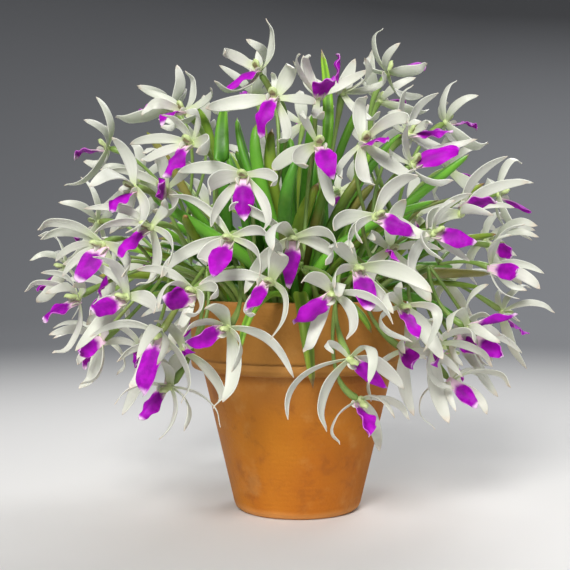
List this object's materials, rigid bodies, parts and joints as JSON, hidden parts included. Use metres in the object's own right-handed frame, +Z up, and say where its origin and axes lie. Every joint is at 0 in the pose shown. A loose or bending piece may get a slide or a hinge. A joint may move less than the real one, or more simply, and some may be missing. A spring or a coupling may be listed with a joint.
{
  "type": "potted orchid",
  "caption": "Flowering miniature orchid with fleshy round leaves and a dome of narrow-petalled flowers, in a plain clay pot.",
  "frame": {"origin": "middle of the part's bounding box, at the height of the pot's foot; the pot's axis is the z axis", "axes": "+Z up out of the pot, -Y towards the plant's best side, +X to the right of someone who looks at that side"},
  "size_m": [0.2582, 0.2487, 0.2323],
  "materials": {
    "clay": "unglazed, mottled, worn at the foot",
    "bark": "rough chips",
    "leaf": "fleshy, slightly waxy",
    "petal": "soft and matte",
    "lip": "soft and matte"
  },
  "bodies": {
    "root": {"pot": "clay", "potting_medium": "bark", "leaf_tuft_01": "leaf", "leaf_tuft_02": "leaf", "leaf_tuft_03": "leaf", "leaf_tuft_04": "leaf", "leaf_tuft_05": "leaf", "leaf_tuft_06": "leaf", "leaf_tuft_07": "leaf", "leaf_tuft_08": "leaf", "leaf_tuft_09": "leaf", "leaf_tuft_10": "leaf", "flower_spray_01": "petal", "flower_spray_02": "petal", "flower_spray_03": "petal", "flower_spray_04": "petal", "flower_spray_05": "petal", "flower_spray_06": "petal", "flower_spray_07": "petal", "flower_spray_08": "petal", "flower_spray_09": "petal", "flower_spray_10": "petal", "flower_spray_11": "petal", "flower_spray_12": "petal", "flower_spray_13": "petal", "flower_spray_14": "petal", "flower_spray_15": "petal", "flower_spray_16": "petal", "flower_spray_17": "petal", "flower_spray_18": "petal", "flower_spray_19": "petal", "flower_spray_20": "petal", "flower_spray_21": "petal", "flower_spray_22": "petal", "flower_spray_23": "petal", "flower_spray_24": "petal", "lip_01": "lip", "lip_02": "lip", "lip_03": "lip", "lip_04": "lip", "lip_05": "lip", "lip_06": "lip", "lip_07": "lip", "lip_08": "lip", "lip_09": "lip", "lip_10": "lip", "lip_11": "lip", "lip_12": "lip", "lip_13": "lip", "lip_14": "lip", "lip_15": "lip", "lip_16": "lip", "lip_17": "lip", "lip_18": "lip", "lip_19": "lip", "lip_20": "lip", "lip_21": "lip", "lip_22": "lip", "lip_23": "lip", "lip_24": "lip"}
  },
  "joints": []
}
